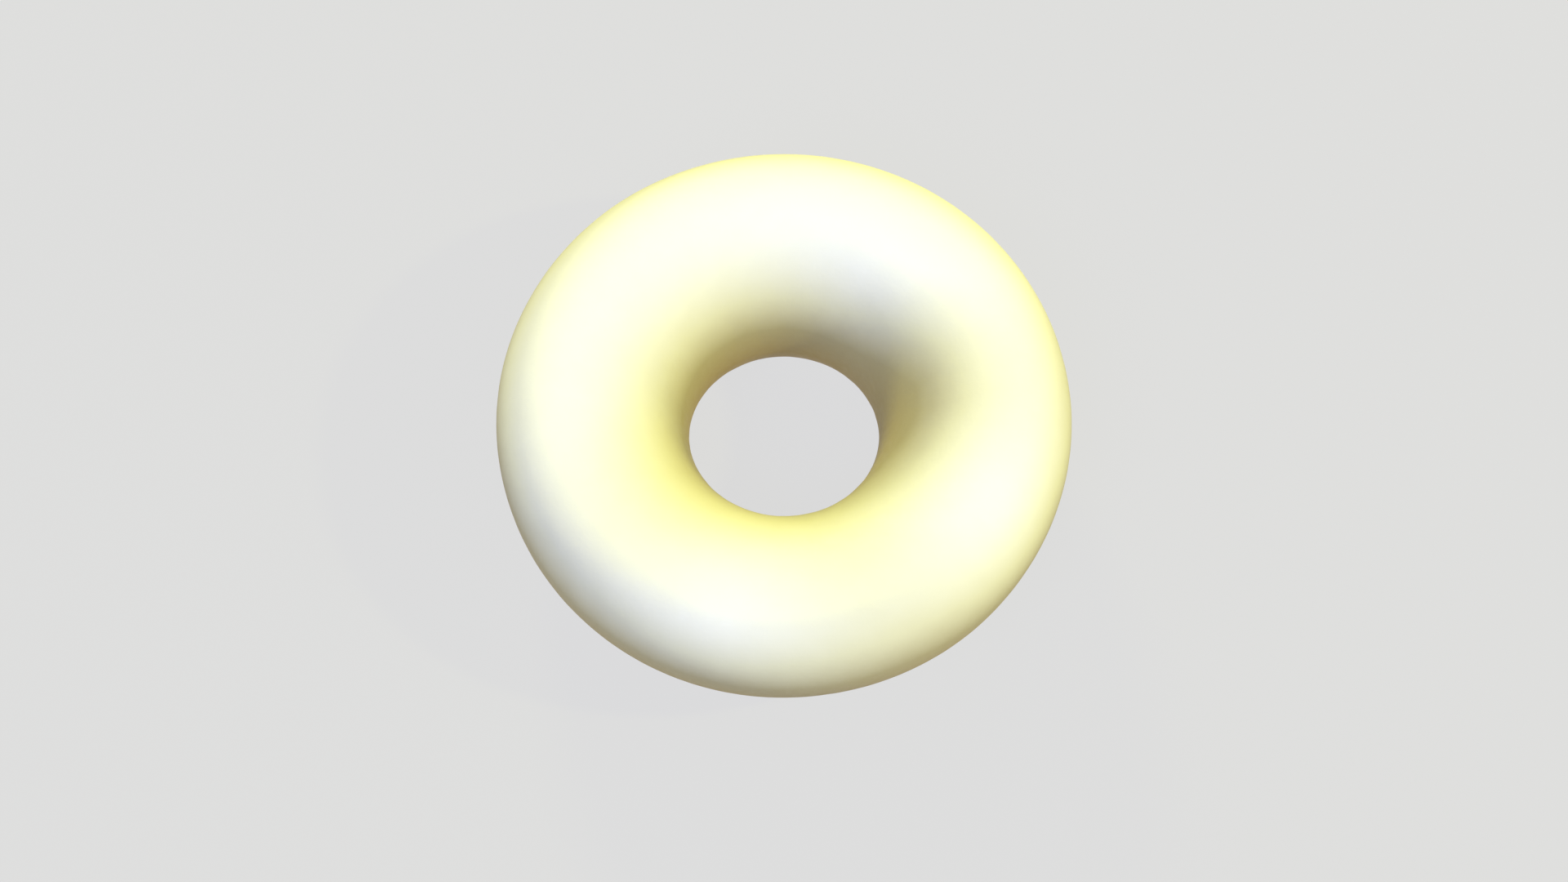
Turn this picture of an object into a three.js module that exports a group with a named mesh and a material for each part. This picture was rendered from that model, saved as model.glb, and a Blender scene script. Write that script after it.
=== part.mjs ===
// Ring doughnut: one solid piece of dough, fried or baked whole, lying flat on its underside.
//
// Units are millimetres and +Z is up. The origin is the centre of the underside, on the hole's axis.
// The ring is a body of revolution about Z. Its section is an ellipse, sheared so that the outer side
// bulges a little above mid-height and the hole is narrowest a little below it, and the dough is
// pressed flat where it lies on the table.

import * as THREE from "three";

// Driving dimensions.
const OUTER_DIAMETER = 90; // across the widest part of the outer side
const HOLE_DIAMETER = 30.4; // across the narrowest part of the hole
const HEIGHT = 31.5; // from the table to the crest
const SIDE_LIFT = 3.7; // how far the outer bulge sits above mid-height, and the hole's waist below it
const BASE_PRESS = 0.6; // how much of the round underside is pressed flat by the dough's own weight

// How finely the round surfaces are divided.
const RING_STEPS = 72;
const SECTION_STEPS = 40;

// Sizes that follow from the driving dimensions.
const sectionHalfWidth = (OUTER_DIAMETER - HOLE_DIAMETER) / 4;
const sectionRadius = HOLE_DIAMETER / 2 + sectionHalfWidth; // from the axis to the section's centre
const crestRise = (HEIGHT + BASE_PRESS) / 2; // from the section's centre to the crest
const sectionHalfHeight = Math.sqrt(crestRise ** 2 - SIDE_LIFT ** 2);
const sectionCentreZ = HEIGHT - crestRise;

// A point of the section, where angle 0 is the outer side and a quarter turn is near the crest.
function sectionPoint(angle) {
  const x = sectionRadius + sectionHalfWidth * Math.cos(angle);
  const z = sectionCentreZ + sectionHalfHeight * Math.sin(angle) + SIDE_LIFT * Math.cos(angle);
  return new THREE.Vector2(x, Math.max(z, 0));
}

// The closed outline of the section, which starts and ends at the outer side.
function sectionOutline() {
  const outline = [];
  for (let step = 0; step < SECTION_STEPS; step++) {
    outline.push(sectionPoint((2 * Math.PI * step) / SECTION_STEPS));
  }
  outline.push(outline[0].clone());
  return outline;
}

const doughMaterial = new THREE.MeshStandardMaterial({
  color: 0xefe3b4, // pale cream dough with a golden cast
  roughness: 0.55,
  metalness: 0,
});

// The ring of dough. LatheGeometry turns the outline about Y, so it is stood up to turn about Z.
function makeRing() {
  const geometry = new THREE.LatheGeometry(sectionOutline(), RING_STEPS);
  geometry.rotateX(Math.PI / 2);
  const ring = new THREE.Mesh(geometry, doughMaterial);
  ring.name = "dough_ring";
  return ring;
}

const doughnut = new THREE.Group();
doughnut.add(makeRing());

export default doughnut;
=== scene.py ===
"""Looks of the ring doughnut: one ring of cooked dough, lying flat on a softly glowing table.

Everything is in metres, with +Z up and the origin at the centre of the underside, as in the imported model.
"""

import math

import bmesh
import bpy
from mathutils import Matrix, Vector, noise


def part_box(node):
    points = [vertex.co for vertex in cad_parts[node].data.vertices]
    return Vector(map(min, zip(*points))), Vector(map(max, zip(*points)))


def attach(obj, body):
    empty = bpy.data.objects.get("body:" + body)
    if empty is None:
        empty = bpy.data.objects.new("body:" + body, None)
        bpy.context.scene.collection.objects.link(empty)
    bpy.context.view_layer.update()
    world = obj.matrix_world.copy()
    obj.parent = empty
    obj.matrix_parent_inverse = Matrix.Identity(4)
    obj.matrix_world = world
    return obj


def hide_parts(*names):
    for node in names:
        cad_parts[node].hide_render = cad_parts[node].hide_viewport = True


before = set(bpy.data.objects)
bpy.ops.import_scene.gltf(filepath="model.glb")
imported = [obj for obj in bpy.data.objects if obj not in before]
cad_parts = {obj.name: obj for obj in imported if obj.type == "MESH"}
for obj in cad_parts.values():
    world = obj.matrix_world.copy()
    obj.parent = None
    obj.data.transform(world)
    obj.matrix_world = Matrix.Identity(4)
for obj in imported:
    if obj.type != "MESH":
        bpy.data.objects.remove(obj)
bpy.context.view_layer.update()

# ---------------------------------------------------------------------------------------------
# Ring of dough. A ring is stamped out of a rolled sheet, left to rise and cooked whole, so it is
# one piece of crumb under a thin skin. It rests on its own underside, and nothing is fixed to it.
# ---------------------------------------------------------------------------------------------
MM = 0.001
ring_low, ring_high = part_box("dough_ring")
OUTER_RADIUS = (ring_high.x - ring_low.x) / 2
HEIGHT = ring_high.z - ring_low.z
HOLE_RADIUS = 15.2 * MM  # at the narrowest part of the hole
SIDE_LIFT = 3.7 * MM  # how far the outer bulge sits above mid-height, and the hole's waist below it
BASE_PRESS = 0.6 * MM  # how much of the round underside is pressed flat by the dough's own weight

HALF_WIDTH = (OUTER_RADIUS - HOLE_RADIUS) / 2
SECTION_RADIUS = HOLE_RADIUS + HALF_WIDTH  # from the ring's axis to the middle of the dough
CREST_RISE = (HEIGHT + BASE_PRESS) / 2
HALF_HEIGHT = math.sqrt(CREST_RISE**2 - SIDE_LIFT**2)
SECTION_HEIGHT = HEIGHT - CREST_RISE  # of the middle of the dough above the table

SECTION_STEPS = 156
RING_STEPS = 620

SWELL_WIDTH = 26 * MM
SWELL_HEIGHT = 0.08 * MM
KNEAD_WIDTH = 9 * MM
KNEAD_HEIGHT = 0.02 * MM
KNEAD_START = Vector((7, 3, 5))  # so that the kneading lumps don't line up with the swells
PUCKER_WIDTH = 3.2 * MM
PUCKER_HEIGHT = 0.014 * MM
STRETCH_WIDTH = 1.9 * MM
STRETCH_HEIGHT = 0.035 * MM
STRETCH_SQUASH = 0.12  # makes the stretch lines run long, down through the hole
PORE_SPACING = 3.1 * MM
PORE_WIDTH = 2.4 * MM
PORE_DEPTH = 0.035 * MM
LOW_PORE_DEPTH = 0.09 * MM  # how much deeper the pores get towards the table
BASE_SOFTNESS = 0.25 * MM  # how rounded the edge of the pressed underside is
BASE_PORE_REACH = 0.5 * MM  # how far up from the table the open pores of the underside go
BASE_PORE_SPACING = 2.6 * MM
BASE_PORE_WIDTH = 2.2 * MM
BASE_PORE_DEPTH = 0.3 * MM
SKIN_MAP_GAP = 0.006  # bare edge round each strip of the skin's flat map, as a share of it


def spun_ring():
    """The plain ring: an oval outline, sheared so that the outside bulges high, spun about the axis."""
    bm = bmesh.new()
    outline = Matrix(
        (
            (HALF_WIDTH, 0, 0, SECTION_RADIUS),
            (0, 0, 1, 0),
            (SIDE_LIFT, HALF_HEIGHT, 0, SECTION_HEIGHT),
            (0, 0, 0, 1),
        )
    )
    bmesh.ops.create_circle(bm, segments=SECTION_STEPS, radius=1, matrix=outline)
    bmesh.ops.spin(
        bm,
        geom=bm.verts[:] + bm.edges[:],
        cent=(0, 0, 0),
        axis=(0, 0, 1),
        angle=math.tau,
        steps=RING_STEPS,
        use_merge=True,
    )
    bmesh.ops.recalc_face_normals(bm, faces=bm.faces[:])
    return bm


def in_hole(place):
    """How far a place is down the wall of the hole, from 0 on the crown and outside to 1 at the waist."""
    inward = (SECTION_RADIUS - math.hypot(place.x, place.y)) / HALF_WIDTH
    return min(max((inward - 0.35) / 0.6, 0), 1) ** 2


def pits(place, spacing, width, depth):
    """Round pits scattered about spacing apart, up to width across and depth deep, no two quite alike."""
    gaps, centres = noise.voronoi(place / spacing)
    share = noise.cell(centres[0] * 7.3)
    reach = width / 2 * (0.4 + 0.6 * share) / spacing
    bowl = max(0, 1 - (gaps[0] / reach) ** 2)
    return depth * share * bowl**2


def relief(place):
    """How far the skin stands out at a place on the plain ring, from slow swells down to small pores."""
    swell = noise.noise(place / SWELL_WIDTH) * SWELL_HEIGHT
    knead = noise.noise(place / KNEAD_WIDTH + KNEAD_START) * KNEAD_HEIGHT
    pucker = noise.fractal(place / PUCKER_WIDTH, 0.8, 2.1, 3) * PUCKER_HEIGHT
    on_wall = Vector((place.x, place.y, 0)).normalized() * HOLE_RADIUS
    on_wall.z = place.z * STRETCH_SQUASH
    stretch_lines = noise.noise(on_wall / STRETCH_WIDTH) * STRETCH_HEIGHT * in_hole(place)
    low = min(max(1 - place.z / SECTION_HEIGHT, 0), 1)
    pores = pits(place, PORE_SPACING, PORE_WIDTH, PORE_DEPTH + LOW_PORE_DEPTH * low)
    return swell + knead + pucker + stretch_lines - pores


def shape_skin(bm):
    """Gives the plain ring its uneven skin, and presses the underside flat, with open pores in it."""
    bm.normal_update()
    moves = [v.normal * relief(v.co) for v in bm.verts]
    for v, move in zip(bm.verts, moves):
        v.co += move
    for v in bm.verts:
        v.co.z = (v.co.z + math.hypot(v.co.z, BASE_SOFTNESS)) / 2
        pressed = max(0, 1 - v.co.z / BASE_PORE_REACH)
        v.co.z += pressed * pits(v.co, BASE_PORE_SPACING, BASE_PORE_WIDTH, BASE_PORE_DEPTH)


def fit_to_frame(bm):
    """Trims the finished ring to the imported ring's own box, so that the looks add nothing to its size."""
    low = Vector(min(v.co[k] for v in bm.verts) for k in range(3))
    high = Vector(max(v.co[k] for v in bm.verts) for k in range(3))
    for v in bm.verts:
        for k in range(3):
            share = (v.co[k] - low[k]) / (high[k] - low[k])
            v.co[k] = ring_low[k] + share * (ring_high[k] - ring_low[k])


def turn_of(x, y):
    """The direction of (x, y) as a share of a full turn."""
    return math.atan2(y, x) / math.tau % 1


def lay_out_skin(bm):
    """Maps the skin in two strips, each half the way round the ring and all the way round its section."""
    layer = bm.loops.layers.uv.new("OFBake")
    for face in bm.faces:
        centre = face.calc_center_median()
        around = turn_of(centre.x, centre.y)
        side = turn_of(math.hypot(centre.x, centre.y) - SECTION_RADIUS, centre.z - SECTION_HEIGHT)
        strip = int(around * 2)
        for loop in face.loops:
            co = loop.vert.co
            ring_turn = turn_of(co.x, co.y)
            ring_turn += round(around - ring_turn)
            section_turn = turn_of(math.hypot(co.x, co.y) - SECTION_RADIUS, co.z - SECTION_HEIGHT)
            section_turn += round(side - section_turn)
            u = SKIN_MAP_GAP + (ring_turn * 2 - strip) * (1 - 2 * SKIN_MAP_GAP)
            v = (strip + SKIN_MAP_GAP + section_turn * (1 - 2 * SKIN_MAP_GAP)) / 2
            loop[layer].uv = (u, v)


bm = spun_ring()
shape_skin(bm)
fit_to_frame(bm)
lay_out_skin(bm)
for face in bm.faces:
    face.smooth = True
mesh = bpy.data.meshes.new("ring_of_dough")
bm.to_mesh(mesh)
bm.free()
ring = bpy.data.objects.new("ring_of_dough", mesh)
bpy.context.scene.collection.objects.link(ring)

# The skin is palest on the crown and cooks to gold down the outside and through the hole, with two
# soft patches where it cooked a little more. Painted shade darkens the shoulder inside the hole on the
# right, and leans the whole ring darker and more golden towards the left, away from the key lamp.
# Every pattern is drawn in the ring's own coordinates.
PALE_LEAN = math.radians(7)  # how far the palest line of the crown sits outside the crest
SKIN_COLOURS = (  # from the least cooked skin to the most
    (0.00, (0.82, 0.82, 0.74)),  # pale cream of the crown
    (0.25, (0.62, 0.60, 0.40)),  # butter yellow
    (0.45, (0.36, 0.31, 0.15)),  # gold of the sides and the hole
    (0.70, (0.32, 0.23, 0.06)),  # deep gold
    (1.00, (0.36, 0.24, 0.10)),  # tan of the underside
)
PAINTED_SHADE_SIDE = (-1, 0, 0)  # painted shade: points to the side away from the key lamp, drawn darker and more golden, and how much per metre
# Each patch: turn round the ring and turn round its section in degrees, reach, how much more cooked (for
# the hole patch, how much painted shade).
HOLE_SHADE_PATCH = (0, 120, 24 * MM, 0.30)  # painted shade: darker, browner shoulder inside the hole on the right, where the key lamp's shade falls
FRONT_PATCH = (225, 100, 22 * MM, 0.12)  # buttery patch in front, beside the hole
CROWN_PATCH = (295, 85, 26 * MM, 0.15)  # buttery patch on the crown in front
CLOUD_WIDTH = 24 * MM
CLOUD_CHANGE = 0.008  # how much more or less cooked the skin is from one soft cloud to the next
FLECK_WIDTH = 3.5 * MM
FLECK_CHANGE = 0.006
GLOSS_WIDTH = 1.1 * MM
GLOSSY_SKIN = 0.5
DULL_SKIN = 0.62
FINE_GRAIN = 0.55 * MM
COARSE_GRAIN = 2.2 * MM
GRAIN_STRENGTH = 0.5
GRAIN_HEIGHT = 0.05 * MM
SKIN_SHINE = 0.5
SKIN_IOR = 1.45

dough = bpy.data.materials.new("pale_dough")
dough.use_nodes = True
nodes = dough.node_tree.nodes
links = dough.node_tree.links
shader = nodes["Principled BSDF"]


def add(kind, *inputs, **settings):
    """A new shader node. Its inputs are wired or set in order, and None leaves one as it is."""
    made = nodes.new("ShaderNode" + kind)
    for name, value in settings.items():
        setattr(made, name, value)
    for socket, value in zip(made.inputs, inputs):
        if isinstance(value, bpy.types.NodeSocket):
            links.new(value, socket)
        elif value is not None:
            socket.default_value = value
    return made


def calc(operation, *values):
    """The result of one step of arithmetic."""
    return add("Math", *values, operation=operation).outputs[0]


def measure(operation, *vectors):
    """The number that comes of one step of vector arithmetic."""
    return add("VectorMath", *vectors, operation=operation).outputs["Value"]


def scaled(value, low, high, new_low, new_high, **settings):
    """A value moved from one range to another, and held inside it."""
    return add("MapRange", value, low, high, new_low, new_high, **settings).outputs[0]


def grain(size, detail):
    """A soft noise from 0 to 1 whose lumps are about size metres across."""
    moved = add("Mapping", here, None, None, (1 / size,) * 3).outputs[0]
    return add("TexNoise", moved, None, 1.0, detail).outputs["Fac"]


def skin_point(turn, side):
    """The place on the skin at a turn round the ring and a turn round its section, in degrees."""
    ring_angle = math.radians(turn)
    section_angle = math.radians(side)
    out = math.cos(section_angle)
    radius = SECTION_RADIUS + HALF_WIDTH * out
    rise = SECTION_HEIGHT + SIDE_LIFT * out + HALF_HEIGHT * math.sin(section_angle)
    return (radius * math.cos(ring_angle), radius * math.sin(ring_angle), rise)


here = add("TexCoord").outputs["Object"]
x, y, z = add("SeparateXYZ", here).outputs
across = add("CombineXYZ", x, y, 0.0).outputs[0]
from_axis = measure("LENGTH", across)
out_share = calc("DIVIDE", calc("SUBTRACT", from_axis, SECTION_RADIUS), HALF_WIDTH)
lift = calc("MULTIPLY_ADD", out_share, SIDE_LIFT, SECTION_HEIGHT)
up_share = calc("DIVIDE", calc("SUBTRACT", z, lift), HALF_HEIGHT)
section_way = add("CombineXYZ", out_share, 0.0, up_share).outputs[0]
section_way = add("VectorMath", section_way, operation="NORMALIZE").outputs[0]
paleness = measure("DOT_PRODUCT", section_way, (math.sin(PALE_LEAN), 0, math.cos(PALE_LEAN)))

cook_and_shade = scaled(paleness, 1.0, -0.75, 0.0, 1.0)
# Painted shade: the ring is drawn darker and more golden towards the left, away from the key lamp.
cook_and_shade = calc("ADD", cook_and_shade, measure("DOT_PRODUCT", across, PAINTED_SHADE_SIDE))
cook_and_shade = calc("ADD", cook_and_shade, scaled(grain(CLOUD_WIDTH, 2.0), 0.3, 0.7, -CLOUD_CHANGE, CLOUD_CHANGE))
cook_and_shade = calc("ADD", cook_and_shade, scaled(grain(FLECK_WIDTH, 3.0), 0.3, 0.7, -FLECK_CHANGE, FLECK_CHANGE))
# The hole patch is painted shade. The front and crown patches are tone the skin has.
for turn, side, reach, extra_cook_and_shade in (HOLE_SHADE_PATCH, FRONT_PATCH, CROWN_PATCH):
    away = measure("DISTANCE", here, skin_point(turn, side))
    patch = scaled(away, 0.0, reach, 1.0, 0.0, interpolation_type="SMOOTHSTEP")
    cook_and_shade = calc("MULTIPLY_ADD", patch, extra_cook_and_shade, cook_and_shade)
cook_and_shade_colour = add("ValToRGB", cook_and_shade)
ramp = cook_and_shade_colour.color_ramp.elements
while len(ramp) < len(SKIN_COLOURS):
    ramp.new(0.5)
for stop, (position, colour) in zip(ramp, SKIN_COLOURS):
    stop.position = position
    stop.color = (*colour, 1)
links.new(cook_and_shade_colour.outputs[0], shader.inputs["Base Color"])

gloss_change = scaled(grain(GLOSS_WIDTH, 3.0), 0.3, 0.7, GLOSSY_SKIN, DULL_SKIN)
links.new(gloss_change, shader.inputs["Roughness"])

skin_height = calc("MULTIPLY_ADD", grain(FINE_GRAIN, 2.0), 0.5, grain(COARSE_GRAIN, 2.0))
skin = add("Bump")
skin.inputs["Strength"].default_value = GRAIN_STRENGTH
skin.inputs["Distance"].default_value = GRAIN_HEIGHT
links.new(skin_height, skin.inputs["Height"])
links.new(skin.outputs[0], shader.inputs["Normal"])

shader.inputs["Specular IOR Level"].default_value = SKIN_SHINE
shader.inputs["IOR"].default_value = SKIN_IOR
mesh.materials.append(dough)

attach(ring, "root")
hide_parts("dough_ring")

# ---------------------------------------------------------------------------------------------
# Table. A wide matt sheet that glows evenly and curves up far from the object, so that no edge of
# it shows. The ring lies on it.
# ---------------------------------------------------------------------------------------------
TABLE_FLAT = 1.6  # radius of the flat part
TABLE_CURVE = 0.9  # radius of the bend at its edge
TABLE_SHADE = 0.03  # nearly black under its glow, so that the ring throws almost no shadow on it
TABLE_GLOW = 0.69

bm = bmesh.new()
middle = bm.verts.new((0, 0, 0))
edge = bm.verts.new((TABLE_FLAT, 0, 0))
bm.edges.new((middle, edge))
bmesh.ops.spin(
    bm,
    geom=[edge],
    cent=(TABLE_FLAT, 0, TABLE_CURVE),
    axis=(0, -1, 0),
    angle=math.pi / 2,
    steps=16,
)
bmesh.ops.spin(
    bm,
    geom=bm.verts[:] + bm.edges[:],
    cent=(0, 0, 0),
    axis=(0, 0, 1),
    angle=math.tau,
    steps=64,
    use_merge=True,
)
bmesh.ops.remove_doubles(bm, verts=bm.verts[:], dist=1e-5)
bmesh.ops.recalc_face_normals(bm, faces=bm.faces[:])
for face in bm.faces:
    face.smooth = True
table_mesh = bpy.data.meshes.new("table")
bm.to_mesh(table_mesh)
bm.free()
table = bpy.data.objects.new("table", table_mesh)
bpy.context.scene.collection.objects.link(table)
matt = bpy.data.materials.new("matt_table")
matt.use_nodes = True
matt_shader = matt.node_tree.nodes["Principled BSDF"]
matt_shader.inputs["Base Color"].default_value = (TABLE_SHADE, TABLE_SHADE, TABLE_SHADE, 1)
matt_shader.inputs["Roughness"].default_value = 1
matt_shader.inputs["Specular IOR Level"].default_value = 0
matt_shader.inputs["Emission Color"].default_value = (1, 1, 1, 1)
matt_shader.inputs["Emission Strength"].default_value = TABLE_GLOW
table_mesh.materials.append(matt)

# ---------------------------------------------------------------------------------------------
# Studio light. A small warm key on the right, a low yellow lamp behind, a large cool fill in front
# on the left, and an even pale room.
# ---------------------------------------------------------------------------------------------
LAMP_DISTANCE = 1.0
ROOM_TINT = (1.0, 1.0, 0.9, 1)
ROOM_LIGHT = 0.4


def lamp(name, turn, rise, size, power, colour):
    """A square lamp that faces the object, turned from +X and raised from the table in degrees."""
    light = bpy.data.lights.new(name, "AREA")
    light.size = size
    light.energy = power
    light.color = colour
    stand = bpy.data.objects.new(name, light)
    compass = math.radians(turn)
    slope = math.radians(rise)
    flat = math.cos(slope)
    way = Vector((math.cos(compass) * flat, math.sin(compass) * flat, math.sin(slope)))
    stand.location = way * LAMP_DISTANCE + Vector((0, 0, HEIGHT / 2))
    stand.rotation_euler = way.to_track_quat("Z", "Y").to_euler()
    stand.visible_camera = False
    bpy.context.scene.collection.objects.link(stand)


lamp("key_lamp", -8, 40, 0.05, 7.5, (1, 0.97, 0.35))
lamp("back_lamp", 105, 25, 0.2, 8.0, (1, 0.98, 0.20))
lamp("fill_lamp", 240, 50, 0.5, 8.5, (0.42, 0.49, 1))

room = bpy.data.worlds.new("room")
room.use_nodes = True
room.node_tree.nodes["Background"].inputs["Color"].default_value = ROOM_TINT
room.node_tree.nodes["Background"].inputs["Strength"].default_value = ROOM_LIGHT
bpy.context.scene.world = room

# ---------------------------------------------------------------------------------------------
# Camera. A short telephoto lens, looking steeply down on the ring from the front.
# ---------------------------------------------------------------------------------------------
LOOK_DOWN = math.radians(66.78)
CAMERA_DISTANCE = 0.3318
AIM_HEIGHT = 8.9 * MM
LENS = 48  # focal length in millimetres

camera_data = bpy.data.cameras.new("camera")
camera_data.lens = LENS
camera = bpy.data.objects.new("camera", camera_data)
camera.location = (
    0,
    -CAMERA_DISTANCE * math.cos(LOOK_DOWN),
    SECTION_HEIGHT + CAMERA_DISTANCE * math.sin(LOOK_DOWN),
)
sight = camera.location - Vector((0, 0, AIM_HEIGHT))
camera.rotation_euler = sight.to_track_quat("Z", "Y").to_euler()
camera_data.clip_start = 0.01
camera_data.clip_end = 20
bpy.context.scene.collection.objects.link(camera)
bpy.context.scene.camera = camera

bpy.context.scene.view_settings.view_transform = "Standard"
